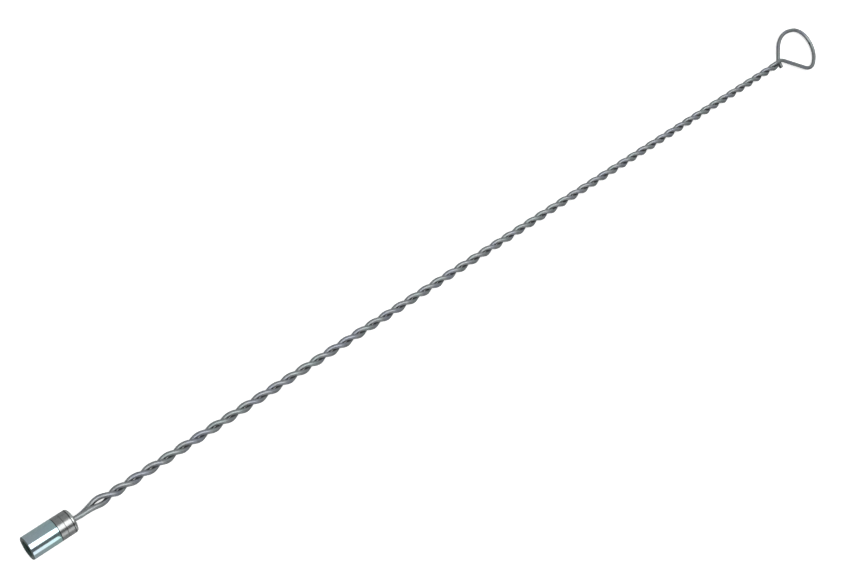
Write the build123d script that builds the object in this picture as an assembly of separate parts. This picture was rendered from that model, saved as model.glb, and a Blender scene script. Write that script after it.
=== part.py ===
"""Twisted-wire cleaning rod, one metre long, with a screw-on socket and a finger loop.

One steel wire is folded round a cross pin, its two legs are twisted together, and the
longer leg is bent into a flat D-shaped finger loop.  The fold is held in a slotted bush.
A ring clamps the slot shut and an M12 female sleeve, for a brush or worm, closes the end.

Frame: millimetres, X along the rod with the sleeve's mouth at the origin, the finger loop
flat in the XY plane, +Z up.
"""

from build123d import *
import math
import os

# Wire and twist
WIRE_D = 4.0
LEG_OFFSET = 2.1
HALF_PITCH = 15.13
FIRST_LOBE_X = 75.7
HALF_TURNS = 56
POINTS_PER_HALF_TURN = 4

# Socket, from the mouth to the rear face
SOCKET_D = 18.9
SLEEVE_L = 23.2
RING_L = 5.5
FLANGE_L = 8.3
THREAD_MINOR_D = 10.2
THREAD_L = 16.0
MOUTH_CHAMFER = 1.4
EDGE_CHAMFER = 0.4
RIM_RADIUS = 2.0
GROOVE_FROM_RING = 5.6
GROOVE_DEPTH = 0.25
GROOVE_W = 0.5

# Bush and pin, inside the socket
SPIGOT_D = 13.0
SPIGOT_CLEARANCE = 0.5
SLOT_W = 4.2
SLOT_IN_FLANGE = 3.4
WIRE_HOLE_D = 8.6
PIN_D = 4.0
PIN_L = 12.0
PIN_X = 22.8
FOLD_OFFSET = 4.15
FOLD_RADIUS = 4.1
LEGS_CLOSE_X = 26.0

# Start of the twist: place along X, quarter turns made and distance of each leg from the
# axis.  The twist starts slowly and leaves a small open eye before it closes up.
TWIST_START = (
    (31.0, 0.0, 2.12),
    (40.8, 0.0, 2.12),
    (51.4, 1 / 3, 2.2),
    (56.3, 2 / 3, 2.6),
    (60.7, 1.0, 2.95),
    (64.6, 4 / 3, 2.65),
    (67.1, 5 / 3, 2.35),
    (69.6, 2.0, 2.2),
    (72.5, 2.5, 2.25),
)
QUARTERS_AT_FIRST_LOBE = 3

# Finger loop: a D with a flat far side square to the rod and two shoulders, one on each side.
# Reaches are measured along X from the neck, where the wire crosses over itself.
NECK_X = 937.5
LOOP_REACH = 58.0
NARROW_SHOULDER = (36.0, -26.0)
WIDE_SHOULDER = (22.0, 28.5)
FAR_SIDE_Y = (-10.0, 20.0)
CROSS_Z = 2.05
TUCKED_L = 8.5
NECK_BENDS = (20.0, 12.0, 6.5)
SHOULDER_BENDS = (14.0, 31.0)
FAR_BENDS = (27.0, 19.0)
SHORT_LEG_END = (932.0, -0.9, -2.0)

SOCKET_L = SLEEVE_L + RING_L + FLANGE_L
RUN_SHARE = 0.45


def along_x(x):
    """Plane square to the rod's axis at x, with its normal along +X."""
    return Plane(origin=(x, 0, 0), x_dir=(0, 1, 0), z_dir=(1, 0, 0))


def rod_x(diameter, start, end):
    """Solid cylinder on the rod's axis from start to end."""
    circle = along_x(start) * Circle(diameter / 2)
    return extrude(circle, amount=end - start)


def revolve_profile(points):
    """Turned piece from a closed (x, radius) profile."""
    face = make_face(Polyline(*[(x, r, 0) for x, r in points], close=True))
    return revolve(face, Axis.X)


def threaded_sleeve():
    """Outer sleeve: M12 bore at its minor diameter, then a counterbore for the bush."""
    outer = SOCKET_D / 2
    bore = THREAD_MINOR_D / 2
    profile = [
        (0, bore + MOUTH_CHAMFER),
        (0, outer - EDGE_CHAMFER),
        (EDGE_CHAMFER, outer),
        (SLEEVE_L - EDGE_CHAMFER / 2, outer),
        (SLEEVE_L, outer - EDGE_CHAMFER / 2),
        (SLEEVE_L, SPIGOT_D / 2),
        (THREAD_L, SPIGOT_D / 2),
        (THREAD_L, bore),
        (MOUTH_CHAMFER, bore),
    ]
    return revolve_profile(profile)


def clamp_ring():
    """Ring pressed over the slotted spigot, which it closes on the wire."""
    outer = SOCKET_D / 2
    edge = EDGE_CHAMFER / 2
    start = SLEEVE_L
    end = SLEEVE_L + RING_L
    profile = [
        (start, SPIGOT_D / 2),
        (start, outer - edge),
        (start + edge, outer),
        (end - edge, outer),
        (end, outer - edge),
        (end, SPIGOT_D / 2),
    ]
    return revolve_profile(profile)


def wire_bush():
    """Rear bush: flange with a turned groove, spigot, milled slot and drilled holes."""
    outer = SOCKET_D / 2
    edge = EDGE_CHAMFER / 2
    flange_start = SLEEVE_L + RING_L
    groove = flange_start + GROOVE_FROM_RING
    profile = [
        (flange_start, 0),
        (flange_start, outer - edge),
        (flange_start + edge, outer),
        (groove - GROOVE_W / 2, outer),
        (groove, outer - GROOVE_DEPTH),
        (groove + GROOVE_W / 2, outer),
        (SOCKET_L, outer),
        (SOCKET_L, 0),
    ]
    flange = revolve_profile(profile)
    rear_rim = flange.edges().group_by(Axis.X)[-1]
    flange = fillet(rear_rim, RIM_RADIUS)
    spigot_start = THREAD_L + SPIGOT_CLEARANCE
    bush = flange + rod_x(SPIGOT_D, spigot_start, flange_start)
    slot_end = flange_start + SLOT_IN_FLANGE
    slot_l = slot_end - spigot_start
    slot = Pos((spigot_start + slot_end) / 2, 0, 0) * Box(slot_l, SLOT_W, SPIGOT_D)
    bush -= slot & rod_x(SPIGOT_D, spigot_start, slot_end)
    bush -= rod_x(WIRE_HOLE_D, flange_start, SOCKET_L)
    bush -= pin_cylinder(SPIGOT_D)
    return bush


def pin_cylinder(length):
    """Cylinder on the cross pin's axis, which is parallel to Y."""
    return Pos(PIN_X, 0, 0) * Rot(90, 0, 0) * Cylinder(PIN_D / 2, length)


def cross_pin():
    """Plain pin across the slot, with the wire folded round it."""
    return pin_cylinder(PIN_L)


def leg_point(x, quarters, offset, side):
    """Point on one leg: side is 1 for the long leg and -1 for the short one."""
    turn = math.radians(90 * (quarters - QUARTERS_AT_FIRST_LOBE))
    return Vector(x, side * offset * math.cos(turn), side * offset * math.sin(turn))


def leg_points(side, half_turns):
    """Corners of one leg's path, from the fold to its last lobe."""
    points = [Vector(LEGS_CLOSE_X, 0, side * FOLD_OFFSET)]
    points += [leg_point(x, quarters, offset, side) for x, quarters, offset in TWIST_START]
    corner = LEG_OFFSET / math.cos(math.pi / POINTS_PER_HALF_TURN / 2)
    for step in range(half_turns * POINTS_PER_HALF_TURN + 1):
        share = step / POINTS_PER_HALF_TURN
        x = FIRST_LOBE_X + share * HALF_PITCH
        points.append(leg_point(x, QUARTERS_AT_FIRST_LOBE + 2 * share, corner, side))
    return points


def corner_radius(before, corner, after):
    """Largest bend whose straight runs each keep a share of their length."""
    run_in = corner - before
    run_out = after - corner
    half_turn = math.radians(run_in.get_angle(run_out)) / 2
    return RUN_SHARE * min(run_in.length, run_out.length) / math.tan(half_turn)


def loop_corners():
    """Corners of the finger loop with the bend radius at each, from the neck round to the tuck."""
    far_x = NECK_X + LOOP_REACH
    narrow_x = NECK_X + NARROW_SHOULDER[0]
    wide_x = NECK_X + WIDE_SHOULDER[0]
    return (
        (Vector(NECK_X - 9, 2, CROSS_Z), NECK_BENDS[0]),
        (Vector(NECK_X, 2, CROSS_Z), NECK_BENDS[1]),
        (Vector(narrow_x, NARROW_SHOULDER[1], 0.3), SHOULDER_BENDS[0]),
        (Vector(far_x, FAR_SIDE_Y[0], 0), FAR_BENDS[0]),
        (Vector(far_x, FAR_SIDE_Y[1], 0), FAR_BENDS[1]),
        (Vector(wide_x, WIDE_SHOULDER[1], 0), SHOULDER_BENDS[1]),
        (Vector(NECK_X, 3, -CROSS_Z), NECK_BENDS[2]),
    )


def wire_path():
    """Centre line of the whole wire: short leg, fold, long leg and finger loop."""
    fold_x = PIN_X - FOLD_OFFSET
    fold = [Vector(fold_x, 0, -FOLD_OFFSET), Vector(fold_x, 0, FOLD_OFFSET)]
    short_leg = [Vector(*SHORT_LEG_END)] + leg_points(-1, HALF_TURNS)[::-1]
    long_leg = leg_points(1, HALF_TURNS)
    loop = [corner for corner, _ in loop_corners()]
    cut_end = Vector(NECK_X - 1.5, 3 - TUCKED_L, -CROSS_Z)
    points = short_leg + fold + long_leg + loop + [cut_end]
    radii = [corner_radius(*points[i - 1:i + 2]) for i in range(1, len(points) - 1)]
    fold_at = len(short_leg) - 1
    radii[fold_at:fold_at + 2] = [FOLD_RADIUS, FOLD_RADIUS]
    radii[-len(loop):] = [radius for _, radius in loop_corners()]
    return FilletPolyline(*points, radius=radii)


def twisted_wire():
    """The folded wire, swept along its centre line."""
    path = wire_path()
    section = Plane(origin=path @ 0, z_dir=path % 0) * Circle(WIRE_D / 2)
    return sweep(section, path=path)


def main():
    os.makedirs("parts", exist_ok=True)
    export_step(threaded_sleeve(), "parts/threaded_sleeve.step")
    export_step(clamp_ring(), "parts/clamp_ring.step")
    export_step(wire_bush(), "parts/wire_bush.step")
    export_step(cross_pin(), "parts/cross_pin.step")
    export_step(twisted_wire(), "parts/twisted_wire.step")


main()
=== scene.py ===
import math

import bmesh
import bpy
import numpy as np
from mathutils import Matrix, Vector


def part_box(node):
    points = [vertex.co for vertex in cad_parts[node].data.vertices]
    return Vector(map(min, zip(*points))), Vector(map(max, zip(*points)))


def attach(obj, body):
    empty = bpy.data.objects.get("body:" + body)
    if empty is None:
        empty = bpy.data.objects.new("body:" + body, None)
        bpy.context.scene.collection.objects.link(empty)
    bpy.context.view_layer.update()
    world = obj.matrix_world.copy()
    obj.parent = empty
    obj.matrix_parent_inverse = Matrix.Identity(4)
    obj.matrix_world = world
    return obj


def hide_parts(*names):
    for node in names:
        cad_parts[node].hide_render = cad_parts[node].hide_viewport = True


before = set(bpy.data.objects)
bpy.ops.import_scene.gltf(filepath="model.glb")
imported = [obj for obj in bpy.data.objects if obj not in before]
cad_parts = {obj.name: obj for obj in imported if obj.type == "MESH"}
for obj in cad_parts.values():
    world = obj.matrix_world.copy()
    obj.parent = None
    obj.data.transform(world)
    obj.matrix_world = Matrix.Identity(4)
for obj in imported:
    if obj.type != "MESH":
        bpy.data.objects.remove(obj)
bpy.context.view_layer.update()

# Finished look of a twisted-wire cleaning rod.  Metres, X along the rod with the socket's mouth
# at the origin, the finger loop flat in the XY plane, +Z up.

MM = 0.001

# Places along the rod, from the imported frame
SLEEVE_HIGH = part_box("threaded_sleeve")[1]
RING_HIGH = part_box("clamp_ring")[1]
BUSH_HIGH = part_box("wire_bush")[1]
PIN_LOW, PIN_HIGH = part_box("cross_pin")

# Sleeve
OUTER_R = SLEEVE_HIGH.z
SLEEVE_L = SLEEVE_HIGH.x
SLEEVE_SEGMENTS = 160
MOUTH_CHAMFER = 1.4 * MM
MOUTH_EDGE = 0.35 * MM
REAR_EDGE = 0.12 * MM
LIP = 0.2 * MM
LIP_EDGE = 0.06 * MM
SPIGOT_R = 6.5 * MM
GROOVE_X = 34.3 * MM

# Thread: flats and flanks are shares of half a pitch
THREAD_END = 16.0 * MM
THREAD_PITCH = 1.75 * MM
THREAD_MINOR_R = 5.1 * MM
THREAD_MAJOR_R = 6.0 * MM
THREAD_FLAT = 0.14
THREAD_FLANK = 0.62
THREAD_RUNOUT_L = 1.2 * MM
PLAIN_BORE_L = 0.8 * MM
POINTS_PER_PITCH = 14

# Painted shade beside a seam is darkest up to the first distance and gone at the second
SEAM_SHADE_REACH = (0.1 * MM, 0.5 * MM)
BORE_SHADE_R = (6.2 * MM, 7.0 * MM)

# Wire
WIRE_R = 2.0 * MM
PIN_X = (PIN_LOW.x + PIN_HIGH.x) / 2
FOLD_R = 4.1 * MM
FIRST_LOBE_X = 75.7 * MM
HALF_PITCH = 15.13 * MM
HALF_TURNS = 56
LAST_LOBE_X = FIRST_LOBE_X + HALF_TURNS * HALF_PITCH

# Start of the twist: the legs close up behind the fold, then turn slowly and leave an open eye
LEGS_PART_X = 26.0 * MM
LEGS_MEET_X = 31.0 * MM
EYE_X = 60.6 * MM
CLOSED_OFFSET = 2.13 * MM
EYE_SWELL = 0.68 * MM
SWELL_BEFORE_EYE = 6.0 * MM
SWELL_AFTER_EYE = 4.9 * MM
SLOW_POWER = 3
QUICK_POWER = 1.35
QUARTERS_AT_FIRST_LOBE = 3

# Unevenness that hand tools leave: the twist runs ahead of an even one in one long and three
# short waves, the rod bows slightly to one side, and its foot is bent one way and its eye the
# other.
LONG_LEAD = 1.3 * MM
SHORT_LEAD = 1.3 * MM
BOW_START_X = 36.0 * MM
BOW = 1.07 * MM
LEAN = 0.05 * MM
FOOT_BEND_X = 43.0 * MM
FOOT_BEND = 0.6 * MM
EYE_BEND_X = EYE_X - 3.0 * MM
EYE_BEND = 0.55 * MM
BEND_REACH = 6.0 * MM

# Finger loop: a D with a flat far side square to the rod and two shoulders, in millimetres.
# Reaches are measured along X from the neck, where the wire crosses over itself.
NECK_X = 937.5
NECK_RUN = 9.0
NECK_Y = (2.0, 3.0)
LOOP_REACH = 58.0
NARROW_SHOULDER = (36.0, -26.0)
NARROW_SHOULDER_Z = 0.3
WIDE_SHOULDER = (22.0, 28.5)
FAR_SIDE_Y = (-10.0, 20.0)
CROSS_Z = 2.05
TUCKED_L = 8.5
NECK_BENDS = (20.0, 12.0, 6.5)
SHOULDER_BENDS = (14.0, 31.0)
FAR_BENDS = (27.0, 19.0)
CUT_END = (NECK_X - 1.5, NECK_Y[1] - TUCKED_L, -CROSS_Z)
SHORT_LEG_END = (932.0, -0.9, -2.0)
ARC_STEP = 0.5

# Wire mesh
STEP = 0.6 * MM
SAME_PLACE = 0.0001 * MM
WIRE_SEGMENTS = 20
FOLD_STEPS = 24
OFFSET_SMOOTHING = 3
TURN_SMOOTHING = 2
FIRST_SIDE = (0.0, 1.0, 0.2)

# Cut ends: distance in mm from the end's plane and share of the wire's radius
END_RINGS = ((0.0, 0.55), (0.0, 0.86), (0.09, 0.965), (0.28, 1.0))

# Painted shade between the strands, by distance in mm from the rod's middle line; the end tucked
# under the neck is shaded as if at a set distance
VALLEY_SHADE = (0.8, 2.4)
VALLEY_SHADE_START_X = 45.0 * MM
UNSHADED_GAP = 5.0
TUCK_GAP = 1.2
TUCK_END_X = 942.0 * MM
TUCK_Y = -1.5 * MM
TUCK_Z = -0.2 * MM

# Studio
FLOOR_REACH = 6.0
FLOOR_GLOW = 0.55
WORLD_TINT = (0.97, 1.0, 1.0, 1.0)
# Axis, start and end along it, strength at the start and at the end
WORLD_FADES = (
    ("Y", -0.45, 0.15, 0.16, 0.42),
    ("X", -0.95, -0.35, 0.3, 1.0),
    ("X", 0.5, 0.95, 1.0, 1.5),
)
CAMERA_PLACE = (-0.1743, -0.0002, 0.9321)
CAMERA_AIM = (0.3971, 0.0062, 0.0)
CAMERA_ROLL = 56.6
CAMERA_LENS = 53.0
CAMERA_SENSOR = 36.0
CAMERA_CLIP = (0.05, 50.0)


# ---------------------------------------------------------------- node helpers

def new_material(name):
    """Empty node material, its tree and its shader, ready for textures."""
    mat = bpy.data.materials.new(name)
    mat.use_nodes = True
    return mat, mat.node_tree, mat.node_tree.nodes["Principled BSDF"]


def noise(tree, coords, scale, detail=3.0, roughness=0.5):
    """Noise texture on given coordinates; returns its factor socket."""
    node = tree.nodes.new("ShaderNodeTexNoise")
    node.inputs["Scale"].default_value = scale
    node.inputs["Detail"].default_value = detail
    node.inputs["Roughness"].default_value = roughness
    tree.links.new(coords, node.inputs["Vector"])
    return node.outputs["Fac"]


def stretched(tree, source, scale):
    """Coordinates scaled by (x, y, z)."""
    node = tree.nodes.new("ShaderNodeMapping")
    node.inputs["Scale"].default_value = scale
    tree.links.new(source, node.inputs["Vector"])
    return node.outputs["Vector"]


def ramp(tree, factor, stops):
    """Colour ramp with (position, colour) stops; returns its colour socket."""
    node = tree.nodes.new("ShaderNodeValToRGB")
    elements = node.color_ramp.elements
    while len(elements) < len(stops):
        elements.new(0.5)
    for element, (place, colour) in zip(elements, stops):
        element.position = place
        element.color = (*colour, 1.0)
    tree.links.new(factor, node.inputs["Fac"])
    return node.outputs["Color"]


def fade(tree, factor, ends, low=0.0, high=1.0, smooth=False):
    """Goes from low at the first of the two ends to high at the second, and holds beyond them."""
    node = tree.nodes.new("ShaderNodeMapRange")
    if smooth:
        node.interpolation_type = "SMOOTHSTEP"
    node.inputs["From Min"].default_value = ends[0]
    node.inputs["From Max"].default_value = ends[1]
    node.inputs["To Min"].default_value = low
    node.inputs["To Max"].default_value = high
    tree.links.new(factor, node.inputs["Value"])
    return node.outputs["Result"]


def remap(tree, factor, low, high):
    """Factor from 0..1 to low..high."""
    return fade(tree, factor, (0.0, 1.0), low, high)


def fill(tree, socket, value):
    """Links a socket, or sets a colour or a number, on an input socket."""
    if isinstance(value, bpy.types.NodeSocket):
        tree.links.new(value, socket)
    elif isinstance(value, tuple):
        socket.default_value = (*value, 1.0)
    else:
        socket.default_value = value


def maths(tree, operation, *values):
    """Math node on sockets or numbers; returns its value socket."""
    node = tree.nodes.new("ShaderNodeMath")
    node.operation = operation
    for socket, value in zip(node.inputs, values):
        fill(tree, socket, value)
    return node.outputs["Value"]


def along(tree, vector, axis):
    """One axis of a vector socket."""
    node = tree.nodes.new("ShaderNodeSeparateXYZ")
    tree.links.new(vector, node.inputs["Vector"])
    return node.outputs[axis]


def blend_colours(tree, factor, first, second, mode="MIX"):
    """Mix of two colour sockets or tuples."""
    node = tree.nodes.new("ShaderNodeMix")
    node.data_type = "RGBA"
    node.blend_type = mode
    fill(tree, node.inputs[0], factor)
    fill(tree, node.inputs[6], first)
    fill(tree, node.inputs[7], second)
    return node.outputs[2]


def bump(tree, shader, height, strength, distance):
    """Adds a bump on the shader, on top of any bump it has."""
    node = tree.nodes.new("ShaderNodeBump")
    node.inputs["Strength"].default_value = strength
    node.inputs["Distance"].default_value = distance
    tree.links.new(height, node.inputs["Height"])
    old = shader.inputs["Normal"]
    if old.is_linked:
        tree.links.new(old.links[0].from_socket, node.inputs["Normal"])
    tree.links.new(node.outputs["Normal"], old)


def object_coords(tree):
    """Object coordinates, which are the part's own frame in metres."""
    return tree.nodes.new("ShaderNodeTexCoord").outputs["Object"]


def attribute(tree, name):
    """A named mesh attribute as a vector socket."""
    node = tree.nodes.new("ShaderNodeAttribute")
    node.attribute_name = name
    return node.outputs["Vector"]


# ---------------------------------------------------------------- materials

def shade_band(tree, here, place, low):
    """Factor that drops to low in a band of painted shade at a place along the rod, 1 elsewhere.
    """
    gap = maths(tree, "SUBTRACT", along(tree, here, "X"), place)
    return fade(tree, maths(tree, "ABSOLUTE", gap), SEAM_SHADE_REACH, low, smooth=True)


def off_bore(tree, here):
    """Factor that is 0 in the bore and its thread and 1 on the outside, for the painted shade in
    the bore.
    """
    radius = tree.nodes.new("ShaderNodeVectorMath")
    radius.operation = "LENGTH"
    tree.links.new(stretched(tree, here, (0, 1, 1)), radius.inputs[0])
    return fade(tree, radius.outputs["Value"], BORE_SHADE_R)


def darkened(tree, colour, factor):
    """Colour multiplied by a factor socket."""
    shade = ramp(tree, factor, ((0.0, (0.0, 0.0, 0.0)), (1.0, (1.0, 1.0, 1.0))))
    return blend_colours(tree, 1.0, colour, shade, "MULTIPLY")


def bright_zinc():
    """Bright blue-passivated zinc on a turned steel sleeve."""
    mat, tree, shader = new_material("bright_zinc")
    here = object_coords(tree)
    cloud = noise(tree, stretched(tree, here, (70, 130, 130)), scale=1.0, detail=3.0)
    cloudy = ramp(tree, cloud, (
        (0.32, (0.53, 0.64, 0.76)),
        (0.50, (0.57, 0.74, 0.77)),
        (0.68, (0.52, 0.76, 0.72)),
    ))
    share = fade(tree, along(tree, here, "X"), (3 * MM, 20 * MM))
    shift = blend_colours(tree, share, (0.58, 0.65, 0.74), (0.51, 0.78, 0.77))
    tint = blend_colours(tree, 0.55, cloudy, shift)
    # Painted shade in the seam at the sleeve's rear end.
    tint = darkened(tree, tint, shade_band(tree, here, place=SLEEVE_L, low=0.2))
    # Painted shade: the bore and its thread are painted near black with less metal, and the
    # mouth's face gets the same, as a darker cut face that is partly painted shade.
    rim = shade_band(tree, here, place=0.0, low=0.0)
    unshaded_outside = maths(tree, "MULTIPLY", rim, off_bore(tree, here))
    tint = blend_colours(tree, unshaded_outside, (0.06, 0.10, 0.09), tint)
    tree.links.new(tint, shader.inputs["Base Color"])
    tree.links.new(remap(tree, unshaded_outside, low=0.4, high=1.0), shader.inputs["Metallic"])
    shader.inputs["Specular IOR Level"].default_value = 0.15
    lines = noise(tree, stretched(tree, here, (9000, 40, 40)), scale=1.0, detail=2.0)
    smear = noise(tree, stretched(tree, here, (90, 500, 500)), scale=1.0, detail=4.0)
    tree.links.new(remap(tree, smear, low=0.07, high=0.19), shader.inputs["Roughness"])
    bump(tree, shader, lines, strength=0.10, distance=0.02 * MM)
    bump(tree, shader, smear, strength=0.10, distance=0.06 * MM)
    return mat


def grey_zinc():
    """Dull grey zinc on the turned and pressed ring and bush, with painted shade in the seams and
    the groove and a painted lighter reflection on the rear rim.
    """
    mat, tree, shader = new_material("grey_zinc")
    here = object_coords(tree)
    patches = stretched(tree, here, (150, 220, 220))
    cloud = noise(tree, patches, scale=1.0, detail=4.0, roughness=0.6)
    tint = ramp(tree, cloud, (
        (0.30, (0.34, 0.36, 0.36)),
        (0.55, (0.40, 0.41, 0.41)),
        (0.75, (0.46, 0.46, 0.45)),
    ))
    # Painted shade in the seams at both ends of the ring and in the groove before the rear rim.
    for place, low in ((SLEEVE_L, 0.2), (RING_HIGH.x, 0.85), (GROOVE_X, 0.3)):
        tint = darkened(tree, tint, shade_band(tree, here, place, low))
    # Painted light: the rounded rear rim is painted lighter, standing in for its reflection of the
    # bright surroundings.
    rim = fade(tree, along(tree, here, "X"), (GROOVE_X + 0.3 * MM, GROOVE_X + 0.9 * MM))
    tint = blend_colours(tree, rim, tint, (0.60, 0.62, 0.61))
    tree.links.new(tint, shader.inputs["Base Color"])
    shader.inputs["Metallic"].default_value = 1.0
    tree.links.new(remap(tree, cloud, low=0.21, high=0.32), shader.inputs["Roughness"])
    lines = noise(tree, stretched(tree, here, (5000, 60, 60)), scale=1.0, detail=3.0)
    bump(tree, shader, lines, strength=0.15, distance=0.03 * MM)
    bump(tree, shader, cloud, strength=0.10, distance=0.05 * MM)
    return mat


def pin_steel():
    """Plain drawn steel of the hidden cross pin."""
    mat, tree, shader = new_material("pin_steel")
    here = object_coords(tree)
    lines = noise(tree, stretched(tree, here, (3000, 80, 3000)), scale=1.0, detail=3.0)
    tint = ramp(tree, lines, ((0.3, (0.38, 0.38, 0.39)), (0.7, (0.50, 0.50, 0.50))))
    tree.links.new(tint, shader.inputs["Base Color"])
    shader.inputs["Metallic"].default_value = 1.0
    tree.links.new(remap(tree, lines, low=0.25, high=0.4), shader.inputs["Roughness"])
    return mat


def galvanised_wire():
    """Satin galvanised wire: cloudy zinc, drawing lines along it, faint colour casts and painted
    shade between the strands.
    """
    mat, tree, shader = new_material("galvanised_wire")
    here = object_coords(tree)
    cloud = noise(tree, here, scale=260.0, detail=4.0, roughness=0.6)
    cast = noise(tree, here, scale=70.0, detail=2.0)
    grey = ramp(tree, cloud, (
        (0.28, (0.30, 0.315, 0.325)),
        (0.52, (0.36, 0.375, 0.385)),
        (0.75, (0.42, 0.43, 0.435)),
    ))
    colour = ramp(tree, cast, (
        (0.38, (0.93, 0.95, 1.05)),
        (0.50, (1.0, 1.0, 1.0)),
        (0.62, (0.94, 1.02, 1.0)),
    ))
    zinc = blend_colours(tree, 1.0, grey, colour, "MULTIPLY")
    # Painted shade in the valleys between the strands, darker the nearer a point lies to the rod's
    # middle line.
    gap = along(tree, attribute(tree, "to_middle"), "X")
    valley_shade = fade(tree, gap, VALLEY_SHADE, low=0.45, smooth=True)
    tree.links.new(darkened(tree, zinc, valley_shade), shader.inputs["Base Color"])
    shader.inputs["Metallic"].default_value = 0.85
    shader.inputs["Specular IOR Level"].default_value = 0.35
    tree.links.new(remap(tree, cloud, low=0.38, high=0.50), shader.inputs["Roughness"])
    lengthwise = stretched(tree, attribute(tree, "along_wire"), (60, 2.2, 1))
    drawn = noise(tree, lengthwise, scale=1.0, detail=4.0, roughness=0.6)
    bump(tree, shader, drawn, strength=0.18, distance=0.05 * MM)
    bump(tree, shader, cloud, strength=0.20, distance=0.06 * MM)
    return mat


# ---------------------------------------------------------------- mesh helpers

def mesh_object(name, vertices, faces, material, smooth_angle=None):
    """Mesh object from plain lists, cleaned and smooth shaded."""
    mesh = bpy.data.meshes.new(name)
    mesh.from_pydata([tuple(v) for v in vertices], [], faces)
    mesh.materials.append(material)
    work = bmesh.new()
    work.from_mesh(mesh)
    bmesh.ops.recalc_face_normals(work, faces=work.faces)
    work.to_mesh(mesh)
    work.free()
    piece = bpy.data.objects.new(name, mesh)
    bpy.context.scene.collection.objects.link(piece)
    for polygon in mesh.polygons:
        polygon.use_smooth = True
    if smooth_angle:
        mesh.set_sharp_from_angle(angle=math.radians(smooth_angle))
    return piece


def revolve(name, rings, segments, material, smooth_angle):
    """Closed turned body.  rings is a function of the angle that gives (x, radius) points."""
    columns = [rings(2 * math.pi * k / segments) for k in range(segments)]
    count = len(columns[0])
    vertices = []
    for k, column in enumerate(columns):
        angle = 2 * math.pi * k / segments
        vertices += [(x, r * math.cos(angle), r * math.sin(angle)) for x, r in column]
    faces = []
    for k in range(segments):
        here, there = k * count, (k + 1) % segments * count
        for j in range(count):
            after = (j + 1) % count
            faces.append((here + j, there + j, there + after, here + after))
    return mesh_object(name, vertices, faces, material, smooth_angle)


def arc(centre, radius, start, end, steps):
    """Points of an arc in the (x, radius) half-plane, angles in degrees."""
    points = []
    for k in range(steps + 1):
        angle = math.radians(start + (end - start) * k / steps)
        points.append((centre[0] + radius * math.cos(angle), centre[1] + radius * math.sin(angle)))
    return points


# ---------------------------------------------------------------- sleeve

def thread_radius(x, angle):
    """Bore radius of the M12 thread at a place: 60 degree flanks, flat crests and roots."""
    phase = (x / THREAD_PITCH - angle / (2 * math.pi)) % 1.0
    rise = 1 - abs(2 * phase - 1)
    depth = min(max((rise - THREAD_FLAT) / THREAD_FLANK, 0.0), 1.0)
    fade_in = min(max((THREAD_END - PLAIN_BORE_L - x) / THREAD_RUNOUT_L, 0.0), 1.0)
    return THREAD_MINOR_R + (THREAD_MAJOR_R - THREAD_MINOR_R) * depth * fade_in


def sleeve_ring(angle):
    """(x, radius) outline of the sleeve at one angle: rear face, outside, mouth, thread."""
    points = [(SLEEVE_L, SPIGOT_R), (SLEEVE_L, OUTER_R - REAR_EDGE)]
    rear_centre = (SLEEVE_L - REAR_EDGE, OUTER_R - REAR_EDGE)
    points += arc(rear_centre, REAR_EDGE, start=0, end=90, steps=3)[1:]
    points += [(SLEEVE_L * share, OUTER_R) for share in (0.8, 0.6, 0.4, 0.2)]
    points += arc((MOUTH_EDGE, OUTER_R - MOUTH_EDGE), MOUTH_EDGE, start=90, end=180, steps=5)
    mouth_r = THREAD_MINOR_R + MOUTH_CHAMFER
    points += [(0.0, mouth_r + LIP * 2), (0.0, mouth_r + LIP)]
    points += [(LIP_EDGE, mouth_r + LIP_EDGE)]
    count = int(THREAD_END / (THREAD_PITCH / POINTS_PER_PITCH))
    for k in range(1, count + 1):
        x = k * THREAD_END / count
        chamfer_r = mouth_r - x
        points.append((x, max(chamfer_r, thread_radius(x, angle))))
    points.append((THREAD_END, SPIGOT_R))
    return points


def make_sleeve(material):
    """Sleeve with a real thread, in place of the CAD sleeve."""
    sleeve = revolve("threaded_sleeve_detail", sleeve_ring, SLEEVE_SEGMENTS, material, 32)
    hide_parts("threaded_sleeve")
    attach(sleeve, "root")


# ---------------------------------------------------------------- wire

def smoothed(values, reach):
    """Moving average over reach samples, twice, with the ends held."""
    kernel = np.ones(2 * reach + 1) / (2 * reach + 1)
    for _ in range(2):
        padded = np.concatenate([np.full(reach, values[0]), values, np.full(reach, values[-1])])
        values = np.convolve(padded, kernel, mode="valid")
    return values


def bell(x, middle, reach):
    """Smooth bump of height 1 at middle that is down to about a third at reach."""
    return np.exp(-((x - middle) / reach) ** 2)


def sway(x):
    """Sideways wander of the rod's middle line: a bent foot and eye and a long slight bow."""
    share = np.clip((x - BOW_START_X) / (LAST_LOBE_X - BOW_START_X), 0, 1)
    long_bow = BOW * np.sin(math.pi * share) + LEAN * (1 - share)
    foot = FOOT_BEND * bell(x, FOOT_BEND_X, BEND_REACH)
    eye = EYE_BEND * bell(x, EYE_BEND_X, BEND_REACH)
    return long_bow - foot + eye


def quarter_turns(x):
    """Quarter turns made at a place: a slow start, a quick second part, then an even twist."""
    share = np.clip((x - FIRST_LOBE_X) / (LAST_LOBE_X - FIRST_LOBE_X), 0, 1)
    lead = LONG_LEAD * np.sin(math.pi * share) + SHORT_LEAD * np.sin(3 * math.pi * share)
    slow = np.clip((x - LEGS_MEET_X) / (EYE_X - LEGS_MEET_X), 0, 1) ** SLOW_POWER
    quick = 2 * np.clip((x - EYE_X) / (FIRST_LOBE_X - EYE_X), 0, 1) ** QUICK_POWER
    even = 2 * np.maximum(x + lead - FIRST_LOBE_X, 0) / HALF_PITCH
    return slow + quick + even


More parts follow.
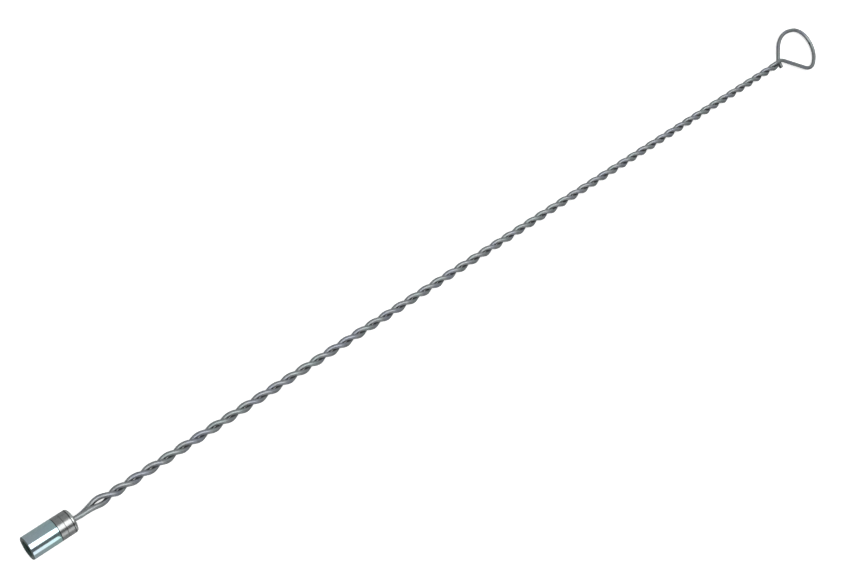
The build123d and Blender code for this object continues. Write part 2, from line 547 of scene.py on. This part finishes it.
def leg_offset(x):
    """Distance of each leg from the rod's middle line."""
    parted = np.interp(x, (LEGS_PART_X, LEGS_MEET_X), (FOLD_R - CLOSED_OFFSET, 0))
    before = bell(x, EYE_X, SWELL_BEFORE_EYE)
    after = bell(x, EYE_X, SWELL_AFTER_EYE)
    return CLOSED_OFFSET + parted + EYE_SWELL * np.where(x < EYE_X, before, after)


def leg(side):
    """Middle line of one leg from beside the pin to its last lobe; side is 1 or -1."""
    x = np.arange(PIN_X, LAST_LOBE_X + STEP / 2, STEP)
    offset = smoothed(leg_offset(x), OFFSET_SMOOTHING)
    quarters = smoothed(quarter_turns(x), TURN_SMOOTHING) - QUARTERS_AT_FIRST_LOBE
    turn = np.radians(90 * quarters)
    y = side * offset * np.cos(turn) + sway(x)
    z = side * offset * np.sin(turn)
    return np.stack([x, y, z], 1)


def loop_corners():
    """Corners of the finger loop with the bend radius at each, from the neck round to the tuck."""
    far_x = NECK_X + LOOP_REACH
    narrow_x = NECK_X + NARROW_SHOULDER[0]
    wide_x = NECK_X + WIDE_SHOULDER[0]
    return (
        ((NECK_X - NECK_RUN, NECK_Y[0], CROSS_Z), NECK_BENDS[0]),
        ((NECK_X, NECK_Y[0], CROSS_Z), NECK_BENDS[1]),
        ((narrow_x, NARROW_SHOULDER[1], NARROW_SHOULDER_Z), SHOULDER_BENDS[0]),
        ((far_x, FAR_SIDE_Y[0], 0), FAR_BENDS[0]),
        ((far_x, FAR_SIDE_Y[1], 0), FAR_BENDS[1]),
        ((wide_x, WIDE_SHOULDER[1], 0), SHOULDER_BENDS[1]),
        ((NECK_X, NECK_Y[1], -CROSS_Z), NECK_BENDS[2]),
    )


def rounded(corners, radii):
    """Points along straight runs joined by tangent arcs, in millimetres."""
    corners = [np.array(corner) for corner in corners]
    points = [corners[0]]
    for before, corner, after, radius in zip(corners, corners[1:], corners[2:], radii):
        back = (before - corner) / np.linalg.norm(before - corner)
        ahead = (after - corner) / np.linalg.norm(after - corner)
        turn = math.pi - math.acos(back.dot(ahead))
        trim = radius * math.tan(turn / 2)
        middle = (back + ahead) / np.linalg.norm(back + ahead)
        centre = corner + middle * radius / math.cos(turn / 2)
        first = corner + back * trim - centre
        last = corner + ahead * trim - centre
        steps = max(4, int(turn * radius / ARC_STEP))
        for k in range(steps + 1):
            part = turn * k / steps
            out = (first * math.sin(turn - part) + last * math.sin(part)) / math.sin(turn)
            points.append(centre + out)
    points.append(corners[-1])
    return points


def evenly(points, spacing):
    """The same polyline with points spaced evenly."""
    runs = np.linalg.norm(np.diff(points, axis=0), axis=1)
    keep = np.concatenate([[True], runs > SAME_PLACE])
    points = points[keep]
    length = np.concatenate([[0], np.cumsum(np.linalg.norm(np.diff(points, axis=0), axis=1))])
    places = np.linspace(0, length[-1], int(length[-1] / spacing) + 1)
    return np.stack([np.interp(places, length, points[:, axis]) for axis in range(3)], 1)


def wire_line():
    """Middle line of the whole wire: short leg, fold, long leg, finger loop."""
    short_leg = leg(-1)[::-1]
    long_leg = leg(1)
    short_end = np.array([SHORT_LEG_END]) * MM
    angles = [math.pi * k / FOLD_STEPS for k in range(1, FOLD_STEPS)]
    fold = np.array([(PIN_X - FOLD_R * math.sin(a), 0, -FOLD_R * math.cos(a)) for a in angles])
    before = tuple(long_leg[-1] / MM)
    corners = [before] + [corner for corner, _ in loop_corners()] + [CUT_END]
    loop = np.array(rounded(corners, [radius for _, radius in loop_corners()])) * MM
    line = evenly(np.concatenate([short_end, short_leg, fold, long_leg, loop[1:]]), STEP)
    for _ in range(2):
        line[1:-1] = (line[:-2] + 2 * line[1:-1] + line[2:]) / 4
    return line


def tube(name, line, radius, segments, material):
    """Closed round tube along a line, with a carried frame and slightly rounded cut ends."""
    ahead = np.gradient(line, axis=0)
    ahead /= np.linalg.norm(ahead, axis=1)[:, None]
    side = np.cross(ahead[0], FIRST_SIDE)
    side /= np.linalg.norm(side)
    sides = [side]
    for direction in ahead[1:]:
        side = side - direction * side.dot(direction)
        side = side / np.linalg.norm(side)
        sides.append(side)
    length = np.concatenate([[0], np.cumsum(np.linalg.norm(np.diff(line, axis=0), axis=1))])
    last = len(line) - 1
    rings = [(line[0] + ahead[0] * depth * MM, 0, share) for depth, share in END_RINGS]
    rings += [(line[k], k, 1.0) for k in range(1, last)]
    for depth, share in END_RINGS[::-1]:
        rings.append((line[last] - ahead[last] * depth * MM, last, share))
    vertices = []
    places = []
    for centre, k, share in rings:
        across = np.cross(ahead[k], sides[k])
        for j in range(segments):
            angle = 2 * math.pi * j / segments
            out = sides[k] * math.cos(angle) + across * math.sin(angle)
            vertices.append(centre + out * radius * share)
            places.append((length[k], math.cos(angle), math.sin(angle)))
    faces = []
    for i in range(len(rings) - 1):
        here = i * segments
        there = here + segments
        for j in range(segments):
            after = (j + 1) % segments
            faces.append((here + j, here + after, there + after, there + j))
    faces.append(tuple(range(segments))[::-1])
    faces.append(tuple(range((len(rings) - 1) * segments, len(rings) * segments)))
    piece = mesh_object(name, vertices, faces, material, 40)
    data = piece.data.attributes.new("along_wire", "FLOAT_VECTOR", "POINT")
    data.data.foreach_set("vector", np.array(places, dtype=np.float32).ravel())
    return piece


def mark_valleys(wire):
    """Stores each point's distance in mm from the rod's middle line, for the painted shade between
    the strands and under the neck.
    """
    spots = np.array([tuple(vertex.co) for vertex in wire.data.vertices])
    x, y, z = spots.T
    gaps = np.hypot(y - sway(x), z) / MM
    gaps = np.where(x < VALLEY_SHADE_START_X, UNSHADED_GAP, gaps)
    # Painted shade on the cut end where it tucks under the neck.
    tucked = (x > LAST_LOBE_X) & (x < TUCK_END_X) & (y < TUCK_Y) & (z < TUCK_Z)
    gaps = np.where(tucked, TUCK_GAP, gaps)
    data = wire.data.attributes.new("to_middle", "FLOAT_VECTOR", "POINT")
    data.data.foreach_set("vector", np.repeat(gaps, 3).astype(np.float32))


def make_wire(material):
    """Uneven twisted wire with rounded cut ends, in place of the CAD wire."""
    wire = tube("twisted_wire_detail", wire_line(), WIRE_R, WIRE_SEGMENTS, material)
    mark_valleys(wire)
    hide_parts("twisted_wire")
    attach(wire, "root")


# ---------------------------------------------------------------- carried-over nodes

def repaint(node, material):
    """Gives a CAD node its finished material."""
    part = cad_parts[node]
    part.data.materials.clear()
    part.data.materials.append(material)


# ---------------------------------------------------------------- studio

def make_floor():
    """Pale floor that the socket and the neck rest on, so it rises slightly along the rod."""
    touch_x = BUSH_HIGH.x
    touch_z = -OUTER_R
    neck_x = CUT_END[0] * MM
    neck_z = CUT_END[2] * MM - WIRE_R
    slope = (neck_z - touch_z) / (neck_x - touch_x)
    vertices = []
    for x in (-FLOOR_REACH, FLOOR_REACH):
        for y in (-FLOOR_REACH, FLOOR_REACH):
            vertices.append((x, y, touch_z + slope * (x - touch_x)))
    mat, tree, shader = new_material("pale_floor")
    shader.inputs["Roughness"].default_value = 0.9
    shader.inputs["Specular IOR Level"].default_value = 0.0
    seen = tree.nodes.new("ShaderNodeLightPath").outputs["Is Camera Ray"]
    paint = blend_colours(tree, seen, (0.42, 0.42, 0.42), (0.94, 0.94, 0.94))
    tree.links.new(paint, shader.inputs["Base Color"])
    shader.inputs["Emission Color"].default_value = (1.0, 1.0, 1.0, 1.0)
    glow = remap(tree, seen, low=0.0, high=FLOOR_GLOW)
    tree.links.new(glow, shader.inputs["Emission Strength"])
    floor = mesh_object("floor", vertices, [(0, 2, 3, 1)], mat)


def softbox(name, place, turn, size, radiance):
    """Rectangular studio light of a given radiance; turn is its tilt about the rod's direction."""
    data = bpy.data.lights.new(name, "AREA")
    data.shape = "RECTANGLE"
    data.size, data.size_y = size
    data.energy = radiance * math.pi * size[0] * size[1]
    light = bpy.data.objects.new(name, data)
    light.location = place
    light.rotation_euler = (math.radians(turn), 0.0, 0.0)
    bpy.context.scene.collection.objects.link(light)
    light.visible_camera = False


def make_lights():
    """Long overhead softbox and a low panel along one side."""
    softbox("overhead", place=(-0.35, -0.10, 2.0), turn=0, size=(3.7, 1.5), radiance=2.4)
    softbox("low_panel", place=(0.45, -2.4, 0.84), turn=90, size=(1.0, 1.6), radiance=1.15)


def make_world():
    """Dim surroundings: darker beside the low panel and behind the socket, lighter far ahead."""
    world = bpy.data.worlds.new("studio")
    bpy.context.scene.world = world
    world.use_nodes = True
    tree = world.node_tree
    direction = tree.nodes.new("ShaderNodeTexCoord").outputs["Generated"]
    strength = 1.0
    for axis, start, end, low, high in WORLD_FADES:
        side = fade(tree, along(tree, direction, axis), (start, end), low, high)
        strength = maths(tree, "MULTIPLY", strength, side)
    seen = tree.nodes.new("ShaderNodeLightPath").outputs["Is Camera Ray"]
    backdrop = maths(tree, "MAXIMUM", strength, seen)
    background = tree.nodes["Background"]
    background.inputs["Color"].default_value = WORLD_TINT
    tree.links.new(backdrop, background.inputs["Strength"])


def make_camera():
    """Camera high over the socket's end, turned so that the rod runs up to the right."""
    place = Vector(CAMERA_PLACE)
    data = bpy.data.cameras.new("camera")
    data.sensor_width = CAMERA_SENSOR
    data.lens = CAMERA_LENS
    data.clip_start, data.clip_end = CAMERA_CLIP
    camera = bpy.data.objects.new("camera", data)
    camera.location = place
    camera.rotation_mode = "QUATERNION"
    facing = (Vector(CAMERA_AIM) - place).to_track_quat("-Z", "Y").to_matrix()
    roll = Matrix.Rotation(math.radians(CAMERA_ROLL), 3, "Z")
    camera.rotation_quaternion = (facing @ roll).to_quaternion()
    bpy.context.scene.collection.objects.link(camera)
    bpy.context.scene.camera = camera


bright = bright_zinc()
grey = grey_zinc()
make_sleeve(bright)
make_wire(galvanised_wire())
repaint("clamp_ring", grey)
repaint("wire_bush", grey)
repaint("cross_pin", pin_steel())
make_floor()
make_lights()
make_world()
make_camera()
bpy.context.scene.view_settings.view_transform = "Standard"
